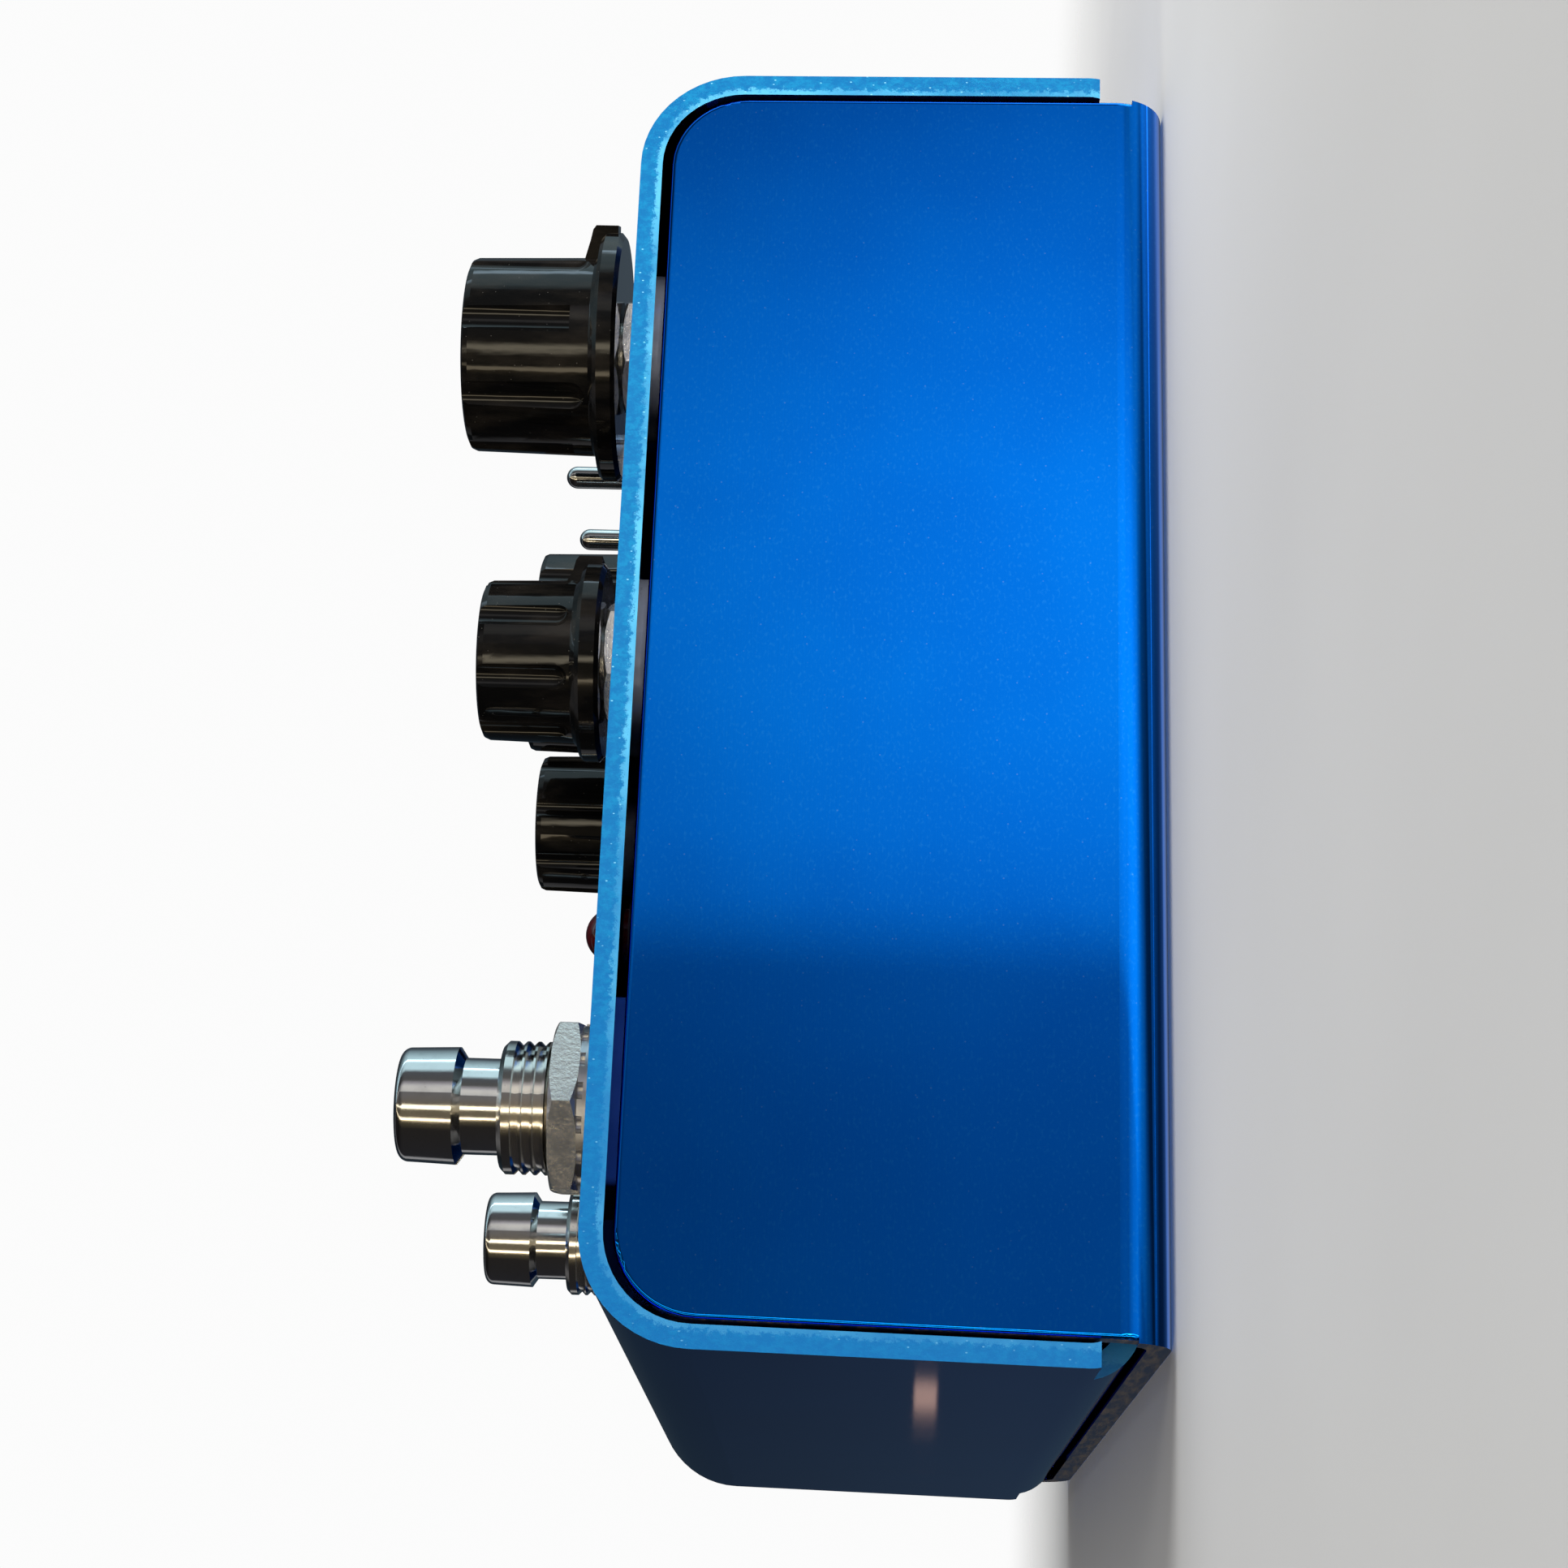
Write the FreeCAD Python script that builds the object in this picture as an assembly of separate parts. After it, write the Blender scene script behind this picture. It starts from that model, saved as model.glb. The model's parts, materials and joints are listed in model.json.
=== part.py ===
import FreeCAD, Part
import math
import os

# Guitar effects pedal: two folded aluminium sheets that close into a box, with the
# controls on top, the sockets on the back and the circuit inside.
# Millimetres. +X right, +Y back, +Z up. The origin is the middle of the underside.

Vector = FreeCAD.Vector
X_AXIS = Vector(1, 0, 0)
Y_AXIS = Vector(0, 1, 0)
Z_AXIS = Vector(0, 0, 1)
ORIGIN = Vector(0, 0, 0)

# ---- driving dimensions: the case ----
case_width = 114.6
case_length_top = 117.2
case_length_base = 118.7
case_height = 48.2
sheet = 2.0
cover_bend = 9.5
flange_bend = 5.0
flange_reach = 13.0
flange_half_width = 50.0
leg_end_z = 6.0
base_bend = 4.5
shoulder_z = 3.0
plate_half_length = 57.1
panel_leg_gap = 0.4
panel_top_gap = 0.8
panel_edge_r = 0.5
inner_top_z = case_height - sheet
hole_clearance = 0.1

# ---- driving dimensions: where the controls sit ----
knob_row_y = 40.3
large_knob_x = 35.8
small_knob_places = {"right": (35.8, 8.1), "middle": (0.0, 19.9), "left": (-18.0, 9.7)}
knob_turns = {"volume_right": -27.5, "volume_left": 0.0,
              "tone_right": -9.5, "tone_middle": 0.0, "tone_left": -27.5}
toggle_x = 8.15
switch_x = 34.1
switch_y = -34.5
led_y = -18.1

# ---- driving dimensions: potentiometers ----
shaft_r = 3.0
running_gap = 0.05
pot_bushing_r = 3.5
pot_bushing_top = 4.3
pot_can_r = 8.0
pot_can_bottom_z = inner_top_z - 9.5
pot_nut_flats = 10.8
pot_washer_r = 6.2
pot_washer_top = 0.5
pot_nut_top = 2.3

# ---- driving dimensions: knobs, heights above the top of the case ----
large_knob = {"body_r": 9.65, "tip_r": 9.4, "skirt_r": 12.1, "back": 2.5, "step": 4.65,
              "height": 17.5, "flute_r": 1.75, "bore_top": 15.0}
small_knob = {"body_r": 7.75, "tip_r": 7.55, "skirt_r": 9.4, "back": 2.5, "step": 4.7,
              "height": 14.0, "flute_r": 1.35, "bore_top": 12.0}
flute_count = 8
flute_depth = 0.8
knob_recess_r = 4.4
knob_recess_top = 4.8
knob_tip_edge = 0.7
nib_half_width = 1.4
nib_reach = 0.65

# ---- driving dimensions: foot-switches ----
switch_bushing_r = 6.0
switch_bushing_top = 9.6
switch_bore_r = 4.4
plunger_r = 4.35
cap_bottom = 13.0
cap_top = 18.9
cap_r = 5.3
cap_shoulder = 0.65
thread_pitch = 1.0
thread_depth = 0.4
switch_nut_flats = 14.8
switch_nut_low = 2.3
switch_nut_high = 4.9
lock_washer_low = 1.8
lock_washer_r = 7.7
housing_side = 17.0
housing_bottom_z = inner_top_z - 15.0
housing_pocket_z = inner_top_z - 4.0
switch_nut_turn = -7.5
washer_teeth = 16
washer_tooth_depth = 0.8
switch_lug_length = 4.0
switch_lug_pitch = 5.0

# ---- driving dimensions: toggles and lamps ----
toggle_bushing_r = 3.0
toggle_bore_r = 2.35
toggle_bushing_top = 4.4
toggle_pivot = 1.3
toggle_ball_r = 1.6
toggle_bat_r = 1.18
toggle_bat_top = 10.7
toggle_floor = -0.8
toggle_nut_flats = 8.0
toggle_washer_top = 0.5
toggle_nut_top = 2.4
toggle_washer_r = 4.7
toggle_lug_pitch = 4.7
led_r = 2.5
led_top = 3.1
lamp_gap = 0.1
bezel_r = 3.9
bezel_sleeve_r = 3.1

# ---- driving dimensions: sockets on the back ----
jack_x = 28.0
socket_z = 24.0
jack_bore_r = 3.2
jack_bushing_r = 4.5
jack_end_y = 63.0
jack_body_side = 16.0
jack_body_length = 20.0
power_r = 5.9
power_hole_r = 2.75
power_pin_r = 1.05
power_end_y = 61.2
power_length = 17.5
power_hole_depth = 11.0
power_rim_r = 7.2
power_nut_flats = 14.0
power_nut_height = 2.4
socket_face_gap = 0.1
socket_washer_height = 0.5
jack_washer_r = 6.7
jack_nut_flats = 12.0
jack_nut_height = 2.2
jack_lug_length = 4.0
jack_lug_pitch = 5.0

# ---- driving dimensions: circuit board ----
board_half_x = 46.0
board_front_y = -12.0
board_back_y = 50.0
board_thickness = 1.6
board_z = pot_can_bottom_z - 1.9 - board_thickness
standoff_places = [(-42.0, -8.0), (42.0, -8.0), (-42.0, 38.0), (42.0, 38.0)]
screw_r = 1.45
screw_hole_r = 1.5
screw_head_r = 2.8
base_screw_top = 7.5
standoff_flats = 5.5
cover_screw_places = [(-42.0, -50.3), (42.0, -50.3), (-42.0, 50.3), (42.0, 50.3)]

# ---- driving dimensions: components, which hang below the board ----
chip_size = (9.6, 6.4, 3.4)
chip_places = [(-20.0, 11.2), (4.0, 11.2), (26.0, 11.2)]
chip_notch_r = 0.9
film_size = (7.2, 2.6, 6.5)
film_places = [(x, y) for x in (-30.0, -12.0, 14.0, 30.0) for y in (0.0, 22.0)]
electrolytic_r = 2.5
electrolytic_height = 7.5
electrolytic_places = [(x, 30.0) for x in (-38.0, -8.0, 18.0, 38.0)]

os.makedirs("parts", exist_ok=True)


# ---- helpers ----
def export(name, solids):
    """Write one node: a single solid, or a compound of separate ones."""
    if isinstance(solids, list):
        shape = Part.makeCompound(solids)
    else:
        shape = solids
    shape.exportStep("parts/" + name + ".step")


def box(low, high):
    """A box between two corners."""
    size = [high[i] - low[i] for i in range(3)]
    return Part.makeBox(size[0], size[1], size[2], Vector(*low))


def rod(radius, low, high, x=0.0, y=0.0):
    """An upright cylinder between two heights."""
    return Part.makeCylinder(radius, high - low, Vector(x, y, low), Z_AXIS)


def rod_y(radius, low, high, x, z):
    """A cylinder that runs front to back."""
    return Part.makeCylinder(radius, high - low, Vector(x, low, z), Y_AXIS)


def ring(outer, inner, low, high, x=0.0, y=0.0):
    """An upright ring."""
    return rod(outer, low, high, x, y).cut(rod(inner, low - 1, high + 1, x, y))


def hexagon(flats, low, high, hole_r, turn=30.0):
    """A hexagon nut about the Z axis, its corners turned off, one corner at an angle."""
    corner = flats / 2 / math.cos(math.pi / 6)
    points = []
    for i in range(7):
        angle = math.radians(60 * i + turn)
        points.append(Vector(corner * math.cos(angle), corner * math.sin(angle), low))
    nut = Part.Face(Part.makePolygon(points)).extrude(Vector(0, 0, high - low))
    turned = corner - flats / 2
    round_blank = rod(corner, low, high)
    rims = round_edges(round_blank, anywhere)
    nut = nut.common(round_blank.makeChamfer(turned * 0.45, turned * 0.9, rims))
    return nut.cut(rod(hole_r, low - 1, high + 1))


def revolve(profile):
    """Turn a closed outline of (radius, height) pairs about the Z axis."""
    points = [Vector(r, 0, z) for r, z in profile]
    points.append(points[0])
    return Part.Face(Part.makePolygon(points)).revolve(ORIGIN, Z_AXIS, 360)


def moved(shape, x, y, z=0.0):
    """A copy of a shape, shifted."""
    copy = shape.copy()
    copy.translate(Vector(x, y, z))
    return copy


def turned_to_back(shape, x, y, z):
    """A copy of a shape built about Z, laid so that its +Z points to the back."""
    copy = shape.copy()
    copy.rotate(ORIGIN, X_AXIS, -90)
    copy.translate(Vector(x, y, z))
    return copy


def edges_along(shape, direction, test):
    """Straight edges that run along a direction and whose middle passes a test."""
    found = []
    for edge in shape.Edges:
        if edge.Curve.TypeId != "Part::GeomLine":
            continue
        along = (edge.Vertexes[1].Point - edge.Vertexes[0].Point).normalize()
        if abs(along.dot(direction)) > 0.999 and test(edge.CenterOfMass):
            found.append(edge)
    return found


def round_edges(shape, test):
    """Circular edges whose centre passes a test."""
    return [edge for edge in shape.Edges
            if edge.Curve.TypeId == "Part::GeomCircle" and test(edge.CenterOfMass)]


def anywhere(point):
    """A test that every point passes."""
    return True


def hanging_box(size, x, y, high):
    """A box centred on a place, with its upper face at a height."""
    half_x = size[0] / 2
    half_y = size[1] / 2
    return box((x - half_x, y - half_y, high - size[2]), (x + half_x, y + half_y, high))


# ---- the case ----
def half_length(z):
    """Half the outer length of the case at a height: the legs splay a little."""
    share = z / case_height
    return (case_length_base * (1 - share) + case_length_top * share) / 2


def case_prism(inset, low, high, half_width, top_r, bottom_r):
    """The case's side outline, moved in by an inset and carried across the width."""
    corners = [(-half_length(low) + inset, low), (half_length(low) - inset, low),
               (half_length(high) - inset, high), (-half_length(high) + inset, high)]
    points = [Vector(-half_width, y, z) for y, z in corners]
    points.append(points[0])
    prism = Part.Face(Part.makePolygon(points)).extrude(Vector(2 * half_width, 0, 0))
    middle = (low + high) / 2
    prism = prism.makeFillet(top_r, edges_along(prism, X_AXIS, lambda p: p.z > middle))
    if bottom_r > 0:
        low_edges = edges_along(prism, X_AXIS, lambda p: abs(p.z - low) < 0.01)
        prism = prism.makeFillet(bottom_r, low_edges)
    return prism


def countersunk_hole(x, y):
    """The tool that cuts a countersunk screw hole up through the underside."""
    straight = rod(screw_hole_r, -1, 8, x, y)
    cone = Part.makeCone(screw_head_r + 0.1, screw_hole_r, 1.5, Vector(x, y, 0), Z_AXIS)
    return straight.fuse(cone)


def countersunk_screw(x, y, top):
    """A flush screw driven up from the underside, with a cross recess."""
    head = Part.makeCone(screw_head_r, screw_r, 1.45, Vector(x, y, 0), Z_AXIS)
    body = head.fuse(rod(screw_r, 1.0, top, x, y)).removeSplitter()
    for size_x, size_y in ((3.0, 0.7), (0.7, 3.0)):
        slot = box((x - size_x / 2, y - size_y / 2, -0.5), (x + size_x / 2, y + size_y / 2, 0.8))
        body = body.cut(slot)
    return body


def top_cover():
    """Outer sheet: top, two legs, and the flanges that turn in over the base."""
    half_width = case_width / 2
    outer = case_prism(0, sheet, case_height, half_width, cover_bend, flange_bend)
    inner = case_prism(sheet, 2 * sheet, inner_top_z, half_width + 1,
                       cover_bend - sheet, flange_bend - sheet)
    cover = outer.cut(inner)
    mouth = case_length_base / 2 - flange_reach
    cover = cover.cut(box((-half_width - 1, -mouth, 0), (half_width + 1, mouth, 3 * sheet)))
    for side in (-1, 1):
        low_x = min(side * flange_half_width, side * (half_width + 1))
        high_x = max(side * flange_half_width, side * (half_width + 1))
        cover = cover.cut(box((low_x, -80, 0), (high_x, 80, leg_end_z)))
    holes = []
    for x, y in knob_places():
        holes.append(rod(pot_bushing_r + hole_clearance, 40, 60, x, y))
    for side in (-1, 1):
        holes.append(rod(toggle_bushing_r + hole_clearance, 40, 60, side * toggle_x, knob_row_y))
        holes.append(rod(switch_bushing_r + hole_clearance, 40, 60, side * switch_x, switch_y))
        holes.append(rod(bezel_sleeve_r + hole_clearance, 40, 60, side * switch_x, led_y))
        holes.append(rod_y(jack_bushing_r + hole_clearance, 50, 70, side * jack_x, socket_z))
    holes.append(rod_y(power_r + hole_clearance, 50, 70, 0, socket_z))
    for x, y in cover_screw_places:
        holes.append(rod(screw_hole_r, 0, 8, x, y))
    for hole in holes:
        cover = cover.cut(hole)
    return cover


def base_chassis():
    """Inner sheet: underside plate and the two side panels, bent up from it."""
    half_width = case_width / 2
    long_half = 80.0
    blank = box((-half_width, -long_half, 0), (half_width, long_half, case_height + 10))
    blank = blank.makeFillet(base_bend, edges_along(blank, Y_AXIS, lambda p: p.z < 1))
    hollow = box((-half_width + sheet, -long_half - 1, sheet),
                 (half_width - sheet, long_half + 1, case_height + 11))
    hollow = hollow.makeFillet(base_bend - sheet,
                               edges_along(hollow, Y_AXIS, lambda p: p.z < sheet + 1))
    channel = blank.cut(hollow)
    panel_outline = case_prism(sheet + panel_leg_gap, 0, inner_top_z - panel_top_gap,
                               half_width + 1, cover_bend - sheet - panel_leg_gap, 0)
    plate_outline = box((-half_width - 1, -plate_half_length, -1),
                        (half_width + 1, plate_half_length, shoulder_z))
    chassis = channel.common(panel_outline.fuse(plate_outline))
    panel_edges = [edge for edge in chassis.Edges if edge.CenterOfMass.z > base_bend + 0.1
                   and all(abs(abs(end.X) - half_width) < 0.001 for end in edge.Vertexes)]
    chassis = chassis.makeFillet(panel_edge_r, panel_edges)
    for x, y in cover_screw_places + standoff_places:
        chassis = chassis.cut(countersunk_hole(x, y))
    return chassis


# ---- knobs and potentiometers ----
def knob_places():
    """Every knob's place: the two large ones, then the three small ones."""
    places = [(large_knob_x, knob_row_y), (-large_knob_x, knob_row_y)]
    return places + list(small_knob_places.values())


def knob(body_r, tip_r, skirt_r, back, step, height, flute_r, bore_top):
    """A fluted knob on a collar, with a pointer nib that faces the back."""
    top = case_height
    low = top + back
    face = top + step
    tip = top + height
    solid = revolve([(0, low), (skirt_r - 0.5, low), (skirt_r, low + 0.4),
                     (skirt_r, face - 0.4), (skirt_r - 0.4, face),
                     (body_r + 0.5, face + 0.1), (body_r, face + 0.6),
                     (tip_r, tip - knob_tip_edge),
                     (tip_r - knob_tip_edge * 0.3, tip - knob_tip_edge * 0.3),
                     (tip_r - knob_tip_edge, tip), (0, tip)])
    flute_low = face + 0.7 + flute_r
    flute_distance = body_r + flute_r - flute_depth
    for i in range(flute_count):
        angle = math.radians(360 / flute_count * (i + 0.5))
        x = flute_distance * math.cos(angle)
        y = flute_distance * math.sin(angle)
        solid = solid.cut(rod(flute_r, flute_low, tip + 1, x, y))
        solid = solid.cut(Part.makeSphere(flute_r, Vector(x, y, flute_low)))
    solid = solid.fuse(nib(body_r, skirt_r, low, face)).removeSplitter()
    solid = solid.cut(rod(knob_recess_r, low - 1, top + knob_recess_top))
    solid = solid.cut(rod(shaft_r + running_gap, top, top + bore_top))
    grub_hole = Part.makeCylinder(screw_hole_r, body_r + 1, Vector(0, 0, (face + tip) / 2),
                                  Vector(-1, 0, 0))
    return solid.cut(grub_hole)


def nib(body_r, skirt_r, low, face):
    """The pointer: a ridge that falls from a knob's body to just past its collar."""
    reach = skirt_r + nib_reach
    root = body_r - 1
    outline = [(root, low + 0.7), (reach, low + 0.7), (reach, face + 0.7),
               (reach - 0.4, face + 1.0), (skirt_r - 0.8, face + 1.25),
               (body_r - 0.2, face + 1.8), (root, face + 1.8)]
    points = [Vector(-nib_half_width, y, z) for y, z in outline]
    points.append(points[0])
    return Part.Face(Part.makePolygon(points)).extrude(Vector(2 * nib_half_width, 0, 0))


def grub_screw(body_r, step, height):
    """The set screw that clamps a knob to its shaft, with a square key hole."""
    middle_z = case_height + (step + height) / 2
    start = shaft_r + running_gap
    outer_end = body_r - 1.5
    screw = Part.makeCylinder(screw_r, outer_end - start, Vector(-start, 0, middle_z),
                              Vector(-1, 0, 0))
    key = box((-outer_end - 1, -0.6, middle_z - 0.6), (-outer_end + 1.2, 0.6, middle_z + 0.6))
    return screw.cut(key)


def placed_knob_part(shape, turn, x, y):
    """A knob's part, turned to its knob's setting and moved to its place."""
    copy = shape.copy()
    copy.rotate(ORIGIN, Z_AXIS, turn)
    copy.translate(Vector(x, y, 0))
    return copy


def make_knobs():
    """Each knob is its own piece, with its own shaft and set screw."""
    made = [("volume_right", large_knob_x, knob_row_y, large_knob),
            ("volume_left", -large_knob_x, knob_row_y, large_knob)]
    for side, (x, y) in small_knob_places.items():
        made.append(("tone_" + side, x, y, small_knob))
    for name, x, y, size in made:
        turn = knob_turns[name]
        screw = grub_screw(size["body_r"], size["step"], size["height"])
        shaft_top = case_height + size["bore_top"] - 0.2
        export("knob_" + name, placed_knob_part(knob(**size), turn, x, y))
        export("grub_screw_" + name, placed_knob_part(screw, turn, x, y))
        export("shaft_" + name, rod(shaft_r, pot_can_bottom_z + 4.0, shaft_top, x, y))


def make_potentiometers():
    """The fixed half of each potentiometer and what clamps it to the cover."""
    top = case_height
    can = rod(pot_can_r, pot_can_bottom_z, inner_top_z)
    can = can.makeFillet(0.7, round_edges(can, anywhere))
    can = can.cut(rod(shaft_r + running_gap, pot_can_bottom_z + 3.5, inner_top_z + 1))
    hole_r = pot_bushing_r + hole_clearance
    bushing = ring(pot_bushing_r, shaft_r + running_gap, inner_top_z, top + pot_bushing_top)
    washer = ring(pot_washer_r, hole_r, top, top + pot_washer_top)
    nut = hexagon(pot_nut_flats, top + pot_washer_top, top + pot_nut_top, hole_r)
    legs = [box((x - 0.6, -6.3, board_z + board_thickness), (x + 0.6, -5.7, pot_can_bottom_z))
            for x in (-4.0, 0.0, 4.0)]
    groups = {"pot_cans": [can], "pot_bushings": [bushing], "pot_washers": [washer],
              "pot_nuts": [nut], "pot_terminals": legs}
    for name, pieces in groups.items():
        export(name, [moved(piece, x, y) for x, y in knob_places() for piece in pieces])


# ---- toggles ----
def make_toggles():
    """Two miniature toggle switches between the large knobs."""
    top = case_height
    pivot_z = top + toggle_pivot
    bat = rod(toggle_bat_r, pivot_z, top + toggle_bat_top - toggle_bat_r)
    tip = Part.makeSphere(toggle_bat_r, Vector(0, 0, top + toggle_bat_top - toggle_bat_r))
    ball = Part.makeSphere(toggle_ball_r, Vector(0, 0, pivot_z))
    lever = bat.fuse(tip).fuse(ball).removeSplitter()
    for side, x in (("right", toggle_x), ("left", -toggle_x)):
        export("toggle_lever_" + side, moved(lever, x, knob_row_y))
    bushing = threaded_rod(toggle_bushing_r, inner_top_z, top + toggle_bushing_top, 0.5, 0.2)
    bushing = bushing.cut(rod(toggle_bore_r, top + toggle_floor, top + toggle_bushing_top + 1))
    hole_r = toggle_bushing_r + hole_clearance
    washer = toothed_washer(toggle_washer_r, hole_r, top, top + toggle_washer_top, 12, 0.6)
    nut = hexagon(toggle_nut_flats, top + toggle_washer_top, top + toggle_nut_top, hole_r)
    housing = box((-4.0, -6.6, pot_can_bottom_z), (4.0, 6.6, inner_top_z))
    housing = housing.makeFillet(0.5, edges_along(housing, Z_AXIS, anywhere))
    legs = [box((-0.9, y - 0.35, board_z + board_thickness), (0.9, y + 0.35, pot_can_bottom_z))
            for y in (-toggle_lug_pitch, 0.0, toggle_lug_pitch)]
    groups = {"toggle_bushings": [bushing], "toggle_washers": [washer], "toggle_nuts": [nut],
              "toggle_housings": [housing], "toggle_terminals": legs}
    for name, pieces in groups.items():
        export(name, [moved(piece, x, knob_row_y) for x in (toggle_x, -toggle_x)
                      for piece in pieces])


# ---- foot-switches ----
def threaded_rod(radius, low, high, pitch, depth):
    """A rod with a run of ridges for its thread and a chamfer at the upper end."""
    profile = [(0, low), (radius - depth, low)]
    z = low
    while z + pitch < high - 0.6:
        profile.append((radius, z + pitch * 0.4))
        profile.append((radius, z + pitch * 0.6))
        profile.append((radius - depth, z + pitch))
        z += pitch
    profile.append((radius, z + pitch * 0.4))
    profile.append((radius, high - 0.45))
    profile.append((radius - 0.45, high))
    profile.append((0, high))
    return revolve(profile)


def toothed_washer(outer, inner, low, high, teeth, tooth_depth):
    """A lock washer with notches cut round its rim."""
    washer = ring(outer, inner, low, high)
    for i in range(teeth):
        angle = math.radians(360 / teeth * i)
        notch = rod(outer * 0.1, low - 1, high + 1,
                    (outer + outer * 0.1 - tooth_depth) * math.cos(angle),
                    (outer + outer * 0.1 - tooth_depth) * math.sin(angle))
        washer = washer.cut(notch)
    return washer


def switch_cap():
    """The plunger: a rounded, slightly tapered cap that narrows into its stem."""
    top = case_height
    solid = revolve([(0, top + 1.0), (plunger_r, top + 1.0), (plunger_r, top + cap_bottom),
                     (cap_r, top + cap_bottom + cap_shoulder), (cap_r - 0.2, top + cap_top),
                     (0, top + cap_top)])
    return solid.makeFillet(0.9, round_edges(solid, lambda p: p.z > top + cap_top - 0.1))


def make_foot_switches():
    """Two foot-switches: moving plungers, and the parts that hold them."""
    top = case_height
    for side, x in (("right", switch_x), ("left", -switch_x)):
        export("switch_cap_" + side, moved(switch_cap(), x, switch_y))
    bushing = threaded_rod(switch_bushing_r, inner_top_z, top + switch_bushing_top,
                           thread_pitch, thread_depth)
    bushing = bushing.cut(rod(switch_bore_r, inner_top_z - 1, top + switch_bushing_top + 1))
    hole_r = switch_bushing_r + hole_clearance
    collar = ring(lock_washer_r, hole_r, top, top + lock_washer_low)
    washer = toothed_washer(lock_washer_r, hole_r, top + lock_washer_low, top + switch_nut_low,
                            washer_teeth, washer_tooth_depth)
    nut = hexagon(switch_nut_flats, top + switch_nut_low, top + switch_nut_high, hole_r,
                  turn=switch_nut_turn)
    half = housing_side / 2
    housing = box((-half, -half, housing_bottom_z), (half, half, inner_top_z))
    housing = housing.makeFillet(0.8, edges_along(housing, Z_AXIS, anywhere))
    housing = housing.cut(rod(switch_bore_r, housing_pocket_z, inner_top_z + 1))
    lug_rows = (-switch_lug_pitch, 0.0, switch_lug_pitch)
    lugs = [hanging_box((2.2, 0.8, switch_lug_length), x, y, housing_bottom_z)
            for x in lug_rows for y in lug_rows]
    groups = {"switch_bushings": [bushing], "switch_collars": [collar],
              "switch_lock_washers": [washer], "switch_nuts": [nut],
              "switch_housings": [housing], "switch_lugs": lugs}
    for name, pieces in groups.items():
        export(name, [moved(piece, x, switch_y) for x in (switch_x, -switch_x)
                      for piece in pieces])


# ---- lamps ----
def make_lamps():
    """A domed lamp in a bezel behind each foot-switch."""
    top = case_height
    dome_z = top + led_top - led_r
    lens = rod(led_r, inner_top_z - 1.5, dome_z).fuse(Part.makeSphere(led_r, Vector(0, 0, dome_z)))
    lens = lens.removeSplitter()
    bezel_bore = led_r + lamp_gap
    bezel = revolve([(bezel_bore, inner_top_z - 1.0), (bezel_sleeve_r, inner_top_z - 1.0),
                     (bezel_sleeve_r, top), (bezel_r, top), (bezel_r, top + 0.5),
                     (bezel_r - 0.5, top + 1.0), (bezel_bore, top + 1.0)])
    for name, piece in (("lamp_lenses", lens), ("lamp_bezels", bezel)):
        export(name, [moved(piece, x, led_y) for x in (switch_x, -switch_x)])


# ---- sockets ----
def make_sockets():
    """Input and output sockets and the power socket, on the back leg."""
    half = jack_body_side / 2
    socket_inner_y = half_length(socket_z + half) - sheet - socket_face_gap
    socket_outer_y = half_length(socket_z - half) + socket_face_gap
    nut_low = socket_outer_y + socket_washer_height
    inner_end = socket_inner_y - jack_body_length
    bodies = []
    bushings = []
    washers = []
    nuts = []
    lugs = []
    for x in (jack_x, -jack_x):
        body = box((x - half, inner_end, socket_z - half), (x + half, socket_inner_y, socket_z + half))
        body = body.makeFillet(1.0, edges_along(body, Y_AXIS, anywhere))
        bodies.append(body.cut(rod_y(jack_bore_r, inner_end + 1, socket_inner_y + 1, x, socket_z)))
        barrel = threaded_rod(jack_bushing_r, 0, jack_end_y - socket_inner_y, 0.75, 0.3)
        barrel = barrel.cut(rod(jack_bore_r, -1, 10))
        bushings.append(turned_to_back(barrel, x, socket_inner_y, socket_z))
        washer = ring(jack_washer_r, jack_bushing_r + hole_clearance, 0, socket_washer_height)
        washers.append(turned_to_back(washer, x, socket_outer_y, socket_z))
        nut = hexagon(jack_nut_flats, 0, jack_nut_height, jack_bushing_r + hole_clearance)
        nuts.append(turned_to_back(nut, x, nut_low, socket_z))
        for side in (-jack_lug_pitch, 0.0, jack_lug_pitch):
            lugs.append(box((x + side - 1.2, inner_end - jack_lug_length, socket_z - 0.4),
                            (x + side + 1.2, inner_end, socket_z + 0.4)))
    export("jack_bodies", bodies)
    export("jack_bushings", bushings)
    export("jack_washers", washers)
    export("jack_nuts", nuts)
    export("jack_lugs", lugs)

    back = power_end_y
    hole_end = back - power_hole_depth
    core = rod_y(power_r, back - power_length, back, 0, socket_z)
    rim = rod_y(power_rim_r, socket_outer_y, back, 0, socket_z)
    rim = rim.makeFillet(0.6, round_edges(rim, lambda p: p.y > back - 0.1))
    socket = core.fuse(rim).removeSplitter()
    socket = socket.cut(rod_y(power_hole_r, hole_end, back + 1, 0, socket_z))
    export("power_socket", socket)
    export("power_pin", rod_y(power_pin_r, hole_end, back - 1, 0, socket_z))
    inner_nut = hexagon(power_nut_flats, 0, power_nut_height, power_r + hole_clearance)
    inner_nut_y = socket_inner_y - power_nut_height - 0.2
    export("power_nut", turned_to_back(inner_nut, 0, inner_nut_y, socket_z))


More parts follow.
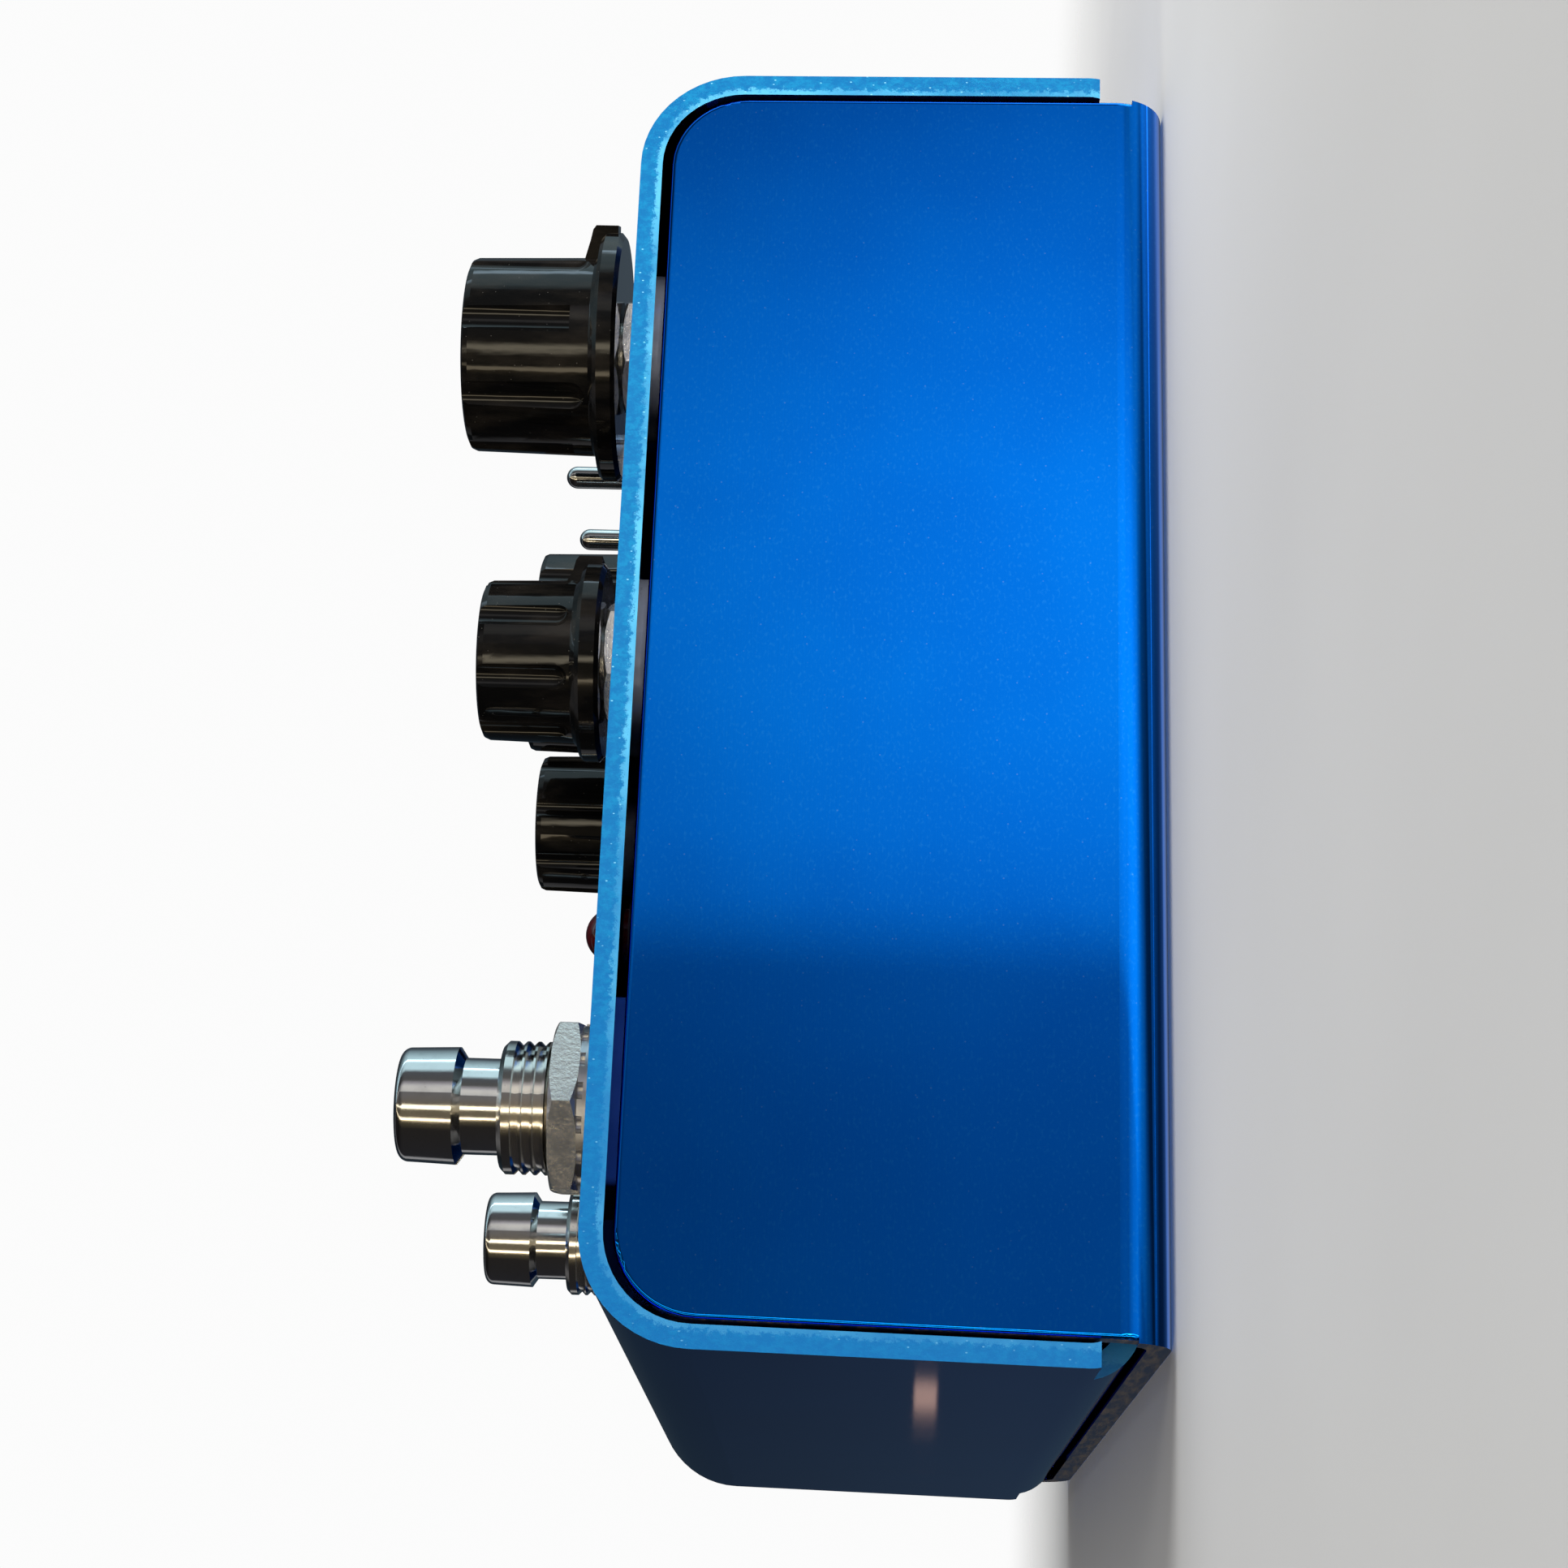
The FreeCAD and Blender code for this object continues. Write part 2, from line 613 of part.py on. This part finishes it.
# ---- inside ----
def make_inside():
    """Circuit board on four standoffs, with its larger components below it."""
    top = board_z + board_thickness
    board = box((-board_half_x, board_front_y, board_z), (board_half_x, board_back_y, top))
    board = board.makeFillet(2.0, edges_along(board, Z_AXIS, anywhere))
    standoffs = []
    screws = []
    for x, y in standoff_places:
        board = board.cut(rod(screw_hole_r, board_z - 1, top + 1, x, y))
        pillar = moved(hexagon(standoff_flats, sheet, board_z, screw_hole_r), x, y)
        middle = rod(screw_hole_r, sheet + 8, board_z - 8, x, y)
        standoffs.append(pillar.fuse(middle).removeSplitter())
        screws.append(countersunk_screw(x, y, sheet + base_screw_top))
        upper = rod(screw_r, board_z - 7, top, x, y).fuse(rod(2.7, top, top + 1.2, x, y))
        upper = upper.removeSplitter()
        screws.append(upper.cut(box((x - 2.0, y - 0.4, top + 0.6), (x + 2.0, y + 0.4, top + 2))))
    export("circuit_board", board)
    export("board_standoffs", standoffs)
    export("board_screws", screws)
    export("cover_screws",
           [countersunk_screw(x, y, base_screw_top) for x, y in cover_screw_places])

    chips = []
    for x, y in chip_places:
        notch = rod(chip_notch_r, board_z - 4, board_z - 2.8, x - chip_size[0] / 2, y)
        chips.append(hanging_box(chip_size, x, y, board_z).cut(notch))
    export("chips", chips)
    export("film_capacitors",
           [hanging_box(film_size, x, y, board_z) for x, y in film_places])
    cans = []
    for x, y in electrolytic_places:
        low = board_z - electrolytic_height
        can = rod(electrolytic_r, low, board_z, x, y)
        cans.append(can.cut(rod(electrolytic_r - 0.5, low - 1, low + 0.2, x, y)))
    export("electrolytic_capacitors", cans)


export("top_cover", top_cover())
export("base_chassis", base_chassis())
make_knobs()
make_potentiometers()
make_toggles()
make_foot_switches()
make_lamps()
make_sockets()
make_inside()
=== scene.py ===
import json
import math
import bpy
from mathutils import Matrix, Vector


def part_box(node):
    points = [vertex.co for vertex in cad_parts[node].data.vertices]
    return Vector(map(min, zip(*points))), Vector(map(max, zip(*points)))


# Looks of a guitar effects pedal: two folded sheets of blue anodised aluminium with
# glossy black knobs, plated foot-switches and toggles. Metres, in the CAD model's frame.

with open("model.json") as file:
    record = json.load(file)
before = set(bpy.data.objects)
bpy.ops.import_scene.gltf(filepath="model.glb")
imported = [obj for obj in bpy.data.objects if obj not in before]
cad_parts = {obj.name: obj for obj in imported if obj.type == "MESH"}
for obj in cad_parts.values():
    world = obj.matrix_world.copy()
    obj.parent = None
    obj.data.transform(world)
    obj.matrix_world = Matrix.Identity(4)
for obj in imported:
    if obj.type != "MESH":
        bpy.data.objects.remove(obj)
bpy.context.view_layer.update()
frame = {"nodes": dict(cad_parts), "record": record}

MM = 0.001
MIX_FIRST, MIX_SECOND, MIX_RESULT = 6, 7, 2  # the colour sockets of a Mix node
case_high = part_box("top_cover")[1]


# ---- node helpers ----
class Paint:
    """A material under construction: a Principled shader and short calls to add nodes."""

    def __init__(self, name, colour, metallic=0.0, roughness=0.4):
        self.material = bpy.data.materials.new(name)
        self.material.use_nodes = True
        self.tree = self.material.node_tree
        self.shader = self.tree.nodes["Principled BSDF"]
        self.set("Base Color", (*colour, 1.0))
        self.set("Metallic", metallic)
        self.set("Roughness", roughness)
        self.place = self.add("ShaderNodeTexCoord").outputs["Object"]

    def set(self, socket, value):
        self.shader.inputs[socket].default_value = value

    def add(self, kind, **settings):
        node = self.tree.nodes.new(kind)
        for key, value in settings.items():
            setattr(node, key, value)
        return node

    def feed(self, value, socket):
        """Link an output to a socket, or set the socket to a plain value."""
        if isinstance(value, bpy.types.NodeSocket):
            self.tree.links.new(value, socket)
        else:
            socket.default_value = value

    def math(self, operation, first, second=0.0):
        node = self.add("ShaderNodeMath", operation=operation)
        self.feed(first, node.inputs[0])
        self.feed(second, node.inputs[1])
        return node.outputs[0]

    def times(self, first, second):
        return self.math("MULTIPLY", first, second)

    def plus(self, first, second):
        return self.math("ADD", first, second)

    def axes(self):
        """The x, y and z of the point, in millimetres."""
        node = self.add("ShaderNodeSeparateXYZ")
        self.feed(self.place, node.inputs[0])
        return [self.times(out, 1.0 / MM) for out in node.outputs]

    def stretched(self, per_mm):
        """The point's place with each axis scaled: features of size 1 in the scaled space."""
        node = self.add("ShaderNodeVectorMath", operation="MULTIPLY")
        self.feed(self.place, node.inputs[0])
        node.inputs[1].default_value = [value / MM for value in per_mm]
        return node.outputs[0]

    def noise(self, per_mm, detail=3.0, roughness=0.55):
        node = self.add("ShaderNodeTexNoise")
        self.feed(self.stretched(per_mm), node.inputs["Vector"])
        node.inputs["Scale"].default_value = 1.0
        node.inputs["Detail"].default_value = detail
        node.inputs["Roughness"].default_value = roughness
        return node.outputs["Fac"]

    def specks(self, per_mm, size):
        """Small scattered dots: 1 inside a dot and 0 elsewhere."""
        node = self.add("ShaderNodeTexVoronoi", feature="F1")
        self.feed(self.stretched(per_mm), node.inputs["Vector"])
        node.inputs["Scale"].default_value = 1.0
        return self.between(node.outputs["Distance"], size, size * 0.4)

    def between(self, value, low, high, out_low=0.0, out_high=1.0):
        """Map a value smoothly from one range to another."""
        node = self.add("ShaderNodeMapRange", interpolation_type="SMOOTHSTEP")
        self.feed(value, node.inputs["Value"])
        node.inputs["From Min"].default_value = low
        node.inputs["From Max"].default_value = high
        node.inputs["To Min"].default_value = out_low
        node.inputs["To Max"].default_value = out_high
        return node.outputs["Result"]

    def mix(self, factor, first, second):
        """Blend two colours."""
        node = self.add("ShaderNodeMix", data_type="RGBA")
        self.feed(factor, node.inputs["Factor"])
        for value, index in ((first, MIX_FIRST), (second, MIX_SECOND)):
            self.feed((*value, 1.0) if isinstance(value, tuple) else value, node.inputs[index])
        return node.outputs[MIX_RESULT]

    def colour(self, value):
        self.feed(value, self.shader.inputs["Base Color"])

    def roughness(self, value):
        self.feed(value, self.shader.inputs["Roughness"])

    def bump(self, height, depth_mm, strength=1.0):
        """Raise the surface by a height field of a given real depth."""
        node = self.add("ShaderNodeBump")
        node.inputs["Strength"].default_value = strength
        node.inputs["Distance"].default_value = depth_mm * MM
        self.feed(height, node.inputs["Height"])
        self.tree.links.new(node.outputs["Normal"], self.shader.inputs["Normal"])

    def facing(self, axis):
        """How squarely the surface faces along an axis of the frame, from 0 to 1."""
        geometry = self.add("ShaderNodeNewGeometry")
        split = self.add("ShaderNodeSeparateXYZ")
        self.feed(geometry.outputs["True Normal"], split.inputs[0])
        return self.math("ABSOLUTE", split.outputs[axis])


# ---- materials ----
def anodised(name, cut_axis, cut_colours, torn=False):
    """Blue anodised sheet: a polished face with fine grain, and rougher cut edges.

    The cut edges are the faces square to cut_axis. Where the edge was torn as it was
    sheared, its inner half is paler and nicked, and painted shade darkens it towards the front.
    """
    face = (0.001, 0.205, 0.91)
    shade = (0.001, 0.178, 0.84)
    glint = (0.03, 0.36, 1.0)
    dust_colour = (0.30, 0.62, 1.0)
    nick_colour = (0.25, 0.66, 0.88)
    # painted shade: the darkened colour of the torn cut edge at the front
    front_edge_painted_shade = (0.001, 0.12, 0.36)
    front_y, back_y = -62.0, 15.0
    edge_metallic = 0.2
    edge_roughness = 0.30
    edge_relief = 30.0
    relief_mm = 0.0008
    paint = Paint(name, face, metallic=1.0, roughness=0.07)
    grain = paint.noise((3.0, 0.12, 6.0), detail=3.0)
    mottle = paint.noise((4.0, 2.4, 4.0), detail=4.0)
    cloud = paint.noise((0.04, 0.04, 0.04), detail=2.0)
    dust = paint.specks((0.9, 0.9, 0.9), 0.09)
    face_colour = paint.mix(paint.between(cloud, 0.3, 0.7), face, shade)
    face_colour = paint.mix(paint.between(mottle, 0.5, 0.8, 0.0, 0.30), face_colour, glint)
    face_colour = paint.mix(paint.times(dust, 0.18), face_colour, dust_colour)
    edge = paint.between(paint.facing(cut_axis), 0.80, 0.92)
    tear = paint.noise((0.2, 1.7, 1.3), detail=5.0, roughness=0.7)
    edge_colour = paint.mix(paint.between(tear, 0.40, 0.66), cut_colours[0], cut_colours[1])
    if torn:
        edge_colour = paint.mix(inner_lip(paint), edge_colour, cut_colours[2])
        nicks = paint.specks((0.5, 1.6, 0.9), 0.12)
        edge_colour = paint.mix(nicks, edge_colour, nick_colour)
        # painted shade: the torn edge darkens from the back towards the front
        painted_shade_toward_back = paint.between(paint.axes()[1], front_y, back_y, 0.35, 1.0)
        edge_colour = paint.mix(painted_shade_toward_back, front_edge_painted_shade, edge_colour)
    paint.colour(paint.mix(edge, face_colour, edge_colour))
    paint.feed(paint.between(edge, 0.0, 1.0, 1.0, edge_metallic), paint.shader.inputs["Metallic"])
    paint.roughness(paint.plus(paint.between(cloud, 0.3, 0.8, 0.03, 0.06),
                               paint.times(edge, edge_roughness)))
    relief = paint.plus(grain, paint.times(mottle, 0.5))
    burr = paint.times(paint.times(tear, edge), edge_relief)
    paint.bump(paint.plus(relief, burr), relief_mm)
    return paint.material


def inner_lip(paint):
    """The paler torn half of the cover's sheared edge, next to its inner side.

    It follows the cover's outline: straight legs that splay towards the base, the top, and
    the round bends between them. Lengths are millimetres.
    """
    bend = 9.5
    splay = 0.75
    base_allowance = 0.1
    tear_line = 1.35
    tear_blur = 0.3
    jag_size = 2.6
    height = case_high.z / MM
    half_base = case_high.y / MM + base_allowance
    y, z = paint.axes()[1:]
    leg = paint.math("SUBTRACT", half_base - bend, paint.times(z, splay / height))
    across = paint.math("SUBTRACT", paint.math("ABSOLUTE", y), leg)
    along = paint.math("SUBTRACT", z, height - bend)
    across_squared = paint.math("POWER", paint.math("MAXIMUM", across, 0.0), 2.0)
    along_squared = paint.math("POWER", paint.math("MAXIMUM", along, 0.0), 2.0)
    corner = paint.math("SQRT", paint.plus(across_squared, along_squared))
    inside = paint.math("MINIMUM", paint.math("MAXIMUM", across, along), 0.0)
    from_outer = paint.math("SUBTRACT", bend, paint.plus(corner, inside))
    jag = paint.times(paint.noise((0.1, 1.8, 1.8), detail=5.0, roughness=0.8), jag_size)
    ragged = paint.plus(from_outer, paint.math("SUBTRACT", jag, jag_size / 2))
    patches = paint.between(paint.noise((0.1, 0.10, 0.10), detail=2.0), 0.35, 0.65, 0.25, 0.9)
    return paint.times(paint.between(ragged, tear_line, tear_line + tear_blur), patches)


def plated(name, colour, roughness, haze, dents_mm=0.004, metallic=1.0):
    """Bright plating with fine turning marks, small dents and a little uneven haze."""
    pit_colour = (0.18, 0.16, 0.14)
    dullness = 0.72
    paint = Paint(name, colour, metallic=metallic, roughness=roughness)
    turning = paint.noise((0.3, 0.3, 14.0), detail=3.0)
    cloud = paint.noise((0.5, 0.5, 0.5), detail=4.0)
    dents = paint.noise((2.2, 2.2, 2.2), detail=4.0, roughness=0.65)
    pits = paint.specks((1.7, 1.7, 1.7), 0.09)
    dull = tuple(value * dullness for value in colour)
    shade = paint.mix(paint.between(cloud, 0.45, 0.8, 0.0, 0.5), colour, dull)
    paint.colour(paint.mix(paint.times(pits, 0.5), shade, pit_colour))
    paint.roughness(paint.plus(paint.between(cloud, 0.3, 0.8, roughness, roughness + haze),
                               paint.times(turning, 0.03)))
    paint.bump(paint.plus(paint.times(turning, 0.2), dents), dents_mm)
    return paint.material


def phenolic(name):
    """Glossy black moulded knob with faint smears and dust."""
    black = (0.002, 0.002, 0.002)
    smeared = (0.012, 0.010, 0.008)
    dust_colour = (0.30, 0.28, 0.24)
    ripple_mm = 0.012
    paint = Paint(name, (0.004, 0.004, 0.004), roughness=0.07)
    smear = paint.noise((0.35, 0.35, 0.12), detail=4.0, roughness=0.6)
    ripple = paint.noise((0.8, 0.8, 0.25), detail=2.0)
    dust = paint.specks((1.4, 1.4, 1.4), 0.07)
    shade = paint.mix(paint.between(smear, 0.4, 0.8), black, smeared)
    paint.colour(paint.mix(paint.times(dust, 0.25), shade, dust_colour))
    paint.roughness(paint.between(smear, 0.4, 0.85, 0.03, 0.12))
    paint.set("Specular IOR Level", 0.35)
    paint.bump(paint.plus(ripple, paint.times(dust, 0.3)), ripple_mm)
    return paint.material


def moulded(name, colour, roughness=0.5, grain_mm=0.3, depth_mm=0.01):
    """Moulded plastic with a fine spark-eroded grain."""
    paint = Paint(name, colour, roughness=roughness)
    grain = paint.noise([1 / grain_mm] * 3, detail=3.0)
    cloud = paint.noise((0.12, 0.12, 0.12), detail=3.0)
    light = tuple(min(1.0, value * 1.25 + 0.01) for value in colour)
    paint.colour(paint.mix(paint.between(cloud, 0.35, 0.7), colour, light))
    paint.roughness(paint.between(grain, 0.3, 0.7, roughness - 0.08, roughness + 0.1))
    paint.bump(grain, depth_mm, 0.6)
    return paint.material


def lens(name):
    """Dark red diffused lamp lens."""
    red = (0.050, 0.003, 0.004)
    deep_red = (0.018, 0.002, 0.002)
    paint = Paint(name, (0.04, 0.003, 0.004), roughness=0.12)
    swirl = paint.noise((0.7, 0.7, 0.7), detail=3.0)
    paint.colour(paint.mix(paint.between(swirl, 0.35, 0.7), red, deep_red))
    paint.roughness(paint.between(swirl, 0.3, 0.7, 0.08, 0.16))
    paint.set("Transmission Weight", 0.25)
    paint.set("Coat Weight", 0.5)
    paint.bump(swirl, 0.01, 0.3)
    return paint.material


def solder_mask(name):
    """Green board with faint copper tracks under the mask."""
    green = (0.010, 0.10, 0.035)
    light_green = (0.020, 0.15, 0.06)
    track_colour = (0.05, 0.28, 0.10)
    track_pitch = 1.1
    track_wander = 6.0
    mask_mm = 0.03
    paint = Paint(name, (0.015, 0.13, 0.05), roughness=0.35)
    x = paint.axes()[0]
    wander = paint.times(paint.noise((0.05, 0.05, 0.05)), track_wander)
    wave = paint.math("PINGPONG", paint.plus(x, wander), track_pitch)
    lanes = paint.between(wave, 0.62, 0.75)
    breaks = paint.between(paint.noise((0.05, 0.14, 0.05), detail=1.0), 0.46, 0.52)
    tracks = paint.times(lanes, breaks)
    base = paint.mix(paint.noise((0.3, 0.3, 0.3)), green, light_green)
    paint.colour(paint.mix(tracks, base, track_colour))
    paint.roughness(paint.between(tracks, 0.0, 1.0, 0.42, 0.28))
    paint.bump(tracks, mask_mm, 0.5)
    return paint.material


def make_materials():
    """One material for each of the record's slots."""
    outer_cut = ((0.001, 0.150, 0.40), (0.004, 0.225, 0.48), (0.11, 0.50, 0.78))
    inner_cut = ((0.006, 0.015, 0.05), (0.10, 0.075, 0.06))
    return {
        "blue_sheet": anodised("blue_sheet", 0, outer_cut, torn=True),
        "blue_sheet_inner": anodised("blue_sheet_inner", 1, inner_cut),
        "chrome": plated("chrome", (0.82, 0.80, 0.76), 0.12, 0.16, 0.035, 0.9),
        "chrome_cap": plated("chrome_cap", (0.84, 0.84, 0.83), 0.06, 0.06, 0.002),
        "thread_chrome": plated("thread_chrome", (0.78, 0.76, 0.72), 0.09, 0.08, 0.003),
        "steel": plated("steel", (0.62, 0.62, 0.63), 0.28, 0.15),
        "brass": plated("brass", (0.78, 0.60, 0.30), 0.24, 0.15),
        "tinned_brass": plated("tinned_brass", (0.72, 0.70, 0.64), 0.30, 0.20),
        "can_aluminium": plated("can_aluminium", (0.86, 0.84, 0.78), 0.26, 0.12, metallic=0.5),
        "knob_black": phenolic("knob_black"),
        "black_moulding": moulded("black_moulding", (0.018, 0.018, 0.020), 0.46),
        "blue_moulding": moulded("blue_moulding", (0.015, 0.06, 0.28), 0.42),
        "red_moulding": moulded("red_moulding", (0.30, 0.030, 0.015), 0.30, 0.6),
        "circuit_board": solder_mask("circuit_board"),
        "red_lens": lens("red_lens"),
    }


def dress_nodes(materials):
    """Give every CAD node its slot's material."""
    slots = {part["node"]: part["material_slot"] for part in frame["record"]["subparts"]}
    for name, piece in frame["nodes"].items():
        piece.data.materials.clear()
        piece.data.materials.append(materials[slots[name]])


# ---- stage, lights and camera ----
def add_floor():
    """A pale floor under the case with painted shade at the front, that fades out into the white
    background.
    """
    size = 1.0
    gap_mm = 0.02
    fade_centre = (0.18, -0.08, 0.0)
    fade_start = 0.22
    fade_end = 0.37
    # painted shade: the floor's grey is darker at the front than at the back
    painted_shade_front_grey = (0.46, 0.45, 0.44)
    painted_lit_back_grey = (0.62, 0.61, 0.60)
    cloud_grey = (0.50, 0.49, 0.48)
    mesh = bpy.data.meshes.new("floor")
    corners = [(-size, -size, 0), (size, -size, 0), (size, size, 0), (-size, size, 0)]
    mesh.from_pydata(corners, [], [(0, 1, 2, 3)])
    floor = bpy.data.objects.new("floor", mesh)
    floor.location.z = -gap_mm * MM
    bpy.context.scene.collection.objects.link(floor)
    paint = Paint("floor", (0.80, 0.80, 0.80), roughness=0.6)
    # painted shade: the floor's grey darkens from the back towards the front
    pale = paint.mix(paint.between(paint.axes()[1], -20.0, 60.0), painted_shade_front_grey, painted_lit_back_grey)
    paint.colour(paint.mix(paint.noise((0.02, 0.02, 0.02), 2.0), pale, cloud_grey))
    reach = paint.add("ShaderNodeVectorMath", operation="DISTANCE")
    paint.feed(paint.place, reach.inputs[0])
    reach.inputs[1].default_value = fade_centre
    paint.feed(paint.between(reach.outputs["Value"], fade_end, fade_start),
               paint.shader.inputs["Alpha"])
    mesh.materials.append(paint.material)
    floor.visible_glossy = False
    floor.visible_shadow = False


def add_panel_light(name, place, aim, size, power, colour=(1, 1, 1), mirrored=True):
    """A rectangular softbox that faces a point, and may be left out of reflections."""
    light = bpy.data.lights.new(name, "AREA")
    light.shape = "RECTANGLE"
    light.size, light.size_y = size
    light.energy = power
    light.color = colour
    lamp = bpy.data.objects.new(name, light)
    lamp.location = place
    lamp.visible_glossy = mirrored
    direction = Vector(aim) - Vector(place)
    lamp.rotation_euler = direction.to_track_quat("-Z", "Y").to_euler()
    bpy.context.scene.collection.objects.link(lamp)


ROOM_BY_BEARING = (  # degrees from +X towards +Y, and the room's colour in that direction
    (-180, (0.024, 0.042, 0.060)), (-156, (0.03, 0.04, 0.05)), (-152, (0.50, 0.50, 0.52)),
    (-144, (0.40, 0.40, 0.42)), (-140, (0.03, 0.03, 0.035)), (-62, (0.03, 0.027, 0.025)),
    (-49, (0.12, 0.10, 0.06)), (-45, (0.80, 0.62, 0.36)), (-43.5, (6.0, 5.0, 3.4)),
    (-41, (6.0, 5.0, 3.4)), (-39, (0.22, 0.18, 0.12)), (-22, (0.24, 0.20, 0.13)),
    (-18.5, (6.0, 5.3, 3.9)), (-16.5, (6.0, 5.3, 3.9)), (-12, (0.24, 0.20, 0.15)),
    (12, (0.25, 0.25, 0.27)), (16.3, (0.34, 0.34, 0.37)), (17.0, (0.78, 0.78, 0.78)),
    (22, (1.06, 1.03, 0.98)), (25, (1.03, 1.00, 0.98)), (28.4, (0.80, 0.78, 0.80)),
    (32, (0.52, 0.50, 0.54)), (38, (0.14, 0.14, 0.14)), (56, (0.13, 0.14, 0.16)),
    (64, (1.00, 1.40, 1.55)), (84, (1.00, 1.40, 1.55)), (85.5, (3.8, 5.2, 6.2)),
    (88.5, (3.8, 5.2, 6.2)), (90, (0.90, 1.30, 1.45)), (116, (0.40, 0.58, 0.66)),
    (135, (0.10, 0.13, 0.16)), (180, (0.024, 0.042, 0.060)))
ROOM_BY_HEIGHT = (  # the direction's z, and how bright the room is there
    (-1.0, 0.10), (-0.90, 0.16), (-0.68, 0.70), (-0.45, 1.10), (-0.30, 1.25), (-0.15, 1.05),
    (-0.05, 0.97), (0.0, 0.84), (0.06, 0.66), (0.12, 0.60), (0.4, 0.50), (0.7, 0.22),
    (1.0, 0.42))
GLOW_BY_HEIGHT = (  # the direction's z, and the glow added there all around
    (-1.0, 0.02), (-0.92, 0.03), (-0.80, 0.12), (-0.70, 0.48), (-0.55, 0.34), (-0.38, 0.0),
    (1.0, 0.0))


def room_ramp(tree, value, scale, stops):
    """A colour ramp over a scaled value whose middle is zero."""
    shift = tree.nodes.new("ShaderNodeMath")
    shift.operation = "MULTIPLY_ADD"
    shift.inputs[1].default_value = scale
    shift.inputs[2].default_value = 0.5
    tree.links.new(value, shift.inputs[0])
    ramp = tree.nodes.new("ShaderNodeValToRGB")
    elements = ramp.color_ramp.elements
    for element, (position, colour) in zip(elements, (stops[0], stops[-1])):
        element.position = position
        element.color = (*colour, 1)
    for position, colour in stops[1:-1]:
        elements.new(position).color = (*colour, 1)
    tree.links.new(shift.outputs[0], ramp.inputs[0])
    return ramp.outputs[0]


def height_ramp(tree, z, levels):
    """A grey ramp over the direction's z, from -1 to 1."""
    return room_ramp(tree, z, 0.5, [(step * 0.5 + 0.5, (level,) * 3) for step, level in levels])


def combine(tree, blend_type, first, second):
    """Multiply or add two colours of the room."""
    node = tree.nodes.new("ShaderNodeMix")
    node.data_type = "RGBA"
    node.blend_type = blend_type
    node.inputs["Factor"].default_value = 1.0
    tree.links.new(first, node.inputs[MIX_FIRST])
    tree.links.new(second, node.inputs[MIX_SECOND])
    return node.outputs[MIX_RESULT]


def add_world():
    """White seen directly; for light and reflections, a room with bright and dim walls."""
    background = (0.97, 0.97, 0.97, 1)
    world = bpy.data.worlds.new("studio")
    world.use_nodes = True
    tree = world.node_tree
    tree.nodes.clear()
    out = tree.nodes.new("ShaderNodeOutputWorld")
    seen = tree.nodes.new("ShaderNodeBackground")
    seen.inputs["Color"].default_value = background
    felt = tree.nodes.new("ShaderNodeBackground")
    place = tree.nodes.new("ShaderNodeTexCoord")
    split = tree.nodes.new("ShaderNodeSeparateXYZ")
    tree.links.new(place.outputs["Generated"], split.inputs[0])
    east, north, upward = split.outputs
    bearing = tree.nodes.new("ShaderNodeMath")
    bearing.operation = "ARCTAN2"
    tree.links.new(north, bearing.inputs[0])
    tree.links.new(east, bearing.inputs[1])
    around = room_ramp(tree, bearing.outputs[0], 0.5 / math.pi,
                       [(angle / 360 + 0.5, colour) for angle, colour in ROOM_BY_BEARING])
    walls = combine(tree, "MULTIPLY", around, height_ramp(tree, upward, ROOM_BY_HEIGHT))
    room = combine(tree, "ADD", walls, height_ramp(tree, upward, GLOW_BY_HEIGHT))
    tree.links.new(room, felt.inputs["Color"])
    path = tree.nodes.new("ShaderNodeLightPath")
    mix = tree.nodes.new("ShaderNodeMixShader")
    tree.links.new(path.outputs["Is Camera Ray"], mix.inputs[0])
    tree.links.new(felt.outputs[0], mix.inputs[1])
    tree.links.new(seen.outputs[0], mix.inputs[2])
    tree.links.new(mix.outputs[0], out.inputs["Surface"])
    bpy.context.scene.world = world


def add_camera():
    """Seen from the right side, a little from the front, with the back of the case upwards."""
    place = Vector((286.3, -90.3, 26.1)) * MM
    aim = Vector((0.0, 8.93, 34.6)) * MM
    roll = math.radians(-2.13)
    forward = (aim - place).normalized()
    back_axis = Vector((0, 1, 0))
    level_up = (back_axis - back_axis.dot(forward) * forward).normalized()
    level_right = forward.cross(level_up)
    up = math.cos(roll) * level_up + math.sin(roll) * level_right
    right = forward.cross(up)
    turn = Matrix((right, up, -forward)).transposed().to_4x4()
    data = bpy.data.cameras.new("camera")
    data.sensor_width = 36.0
    data.lens = 65.44
    data.clip_start = 0.01
    camera = bpy.data.objects.new("camera", data)
    camera.matrix_world = Matrix.Translation(place) @ turn
    bpy.context.scene.collection.objects.link(camera)
    bpy.context.scene.camera = camera


def add_lights():
    """Soft light from behind, above, the right side and the front, and two small lamps.

    The warm spot lies beyond the front face, which mirrors it as a short streak, and the
    lamp inside the case keeps the gaps between the two sheets from going black.
    """
    middle = (0.0, 0.0, 0.03)
    add_panel_light("behind", (0.25, 0.95, 0.75), middle, (0.9, 0.6), 14.0, mirrored=False)
    add_panel_light("top", (-0.05, 0.35, 1.15), middle, (1.0, 1.0), 7.0, mirrored=False)
    add_panel_light("warm_spot", (-0.757, -0.158, 0.001), (0.0365, -0.0592, 0.020),
                    (0.009, 0.008), 0.00018, (1.0, 0.52, 0.26))
    add_panel_light("side", (0.9, 0.42, 0.07), (0.03, 0.0, 0.03), (0.3, 0.12), 9.0,
                    mirrored=False)
    add_panel_light("inside", (0.0, 0.0, 0.034), (0.0, 0.0, 0.048), (0.02, 0.02), 0.05,
                    mirrored=False)
    add_panel_light("front", (0.25, -0.9, 0.5), middle, (0.5, 0.5), 3.5, mirrored=False)


bpy.context.scene.view_settings.view_transform = "Standard"
add_camera()
add_world()
add_lights()
add_floor()
dress_nodes(make_materials())
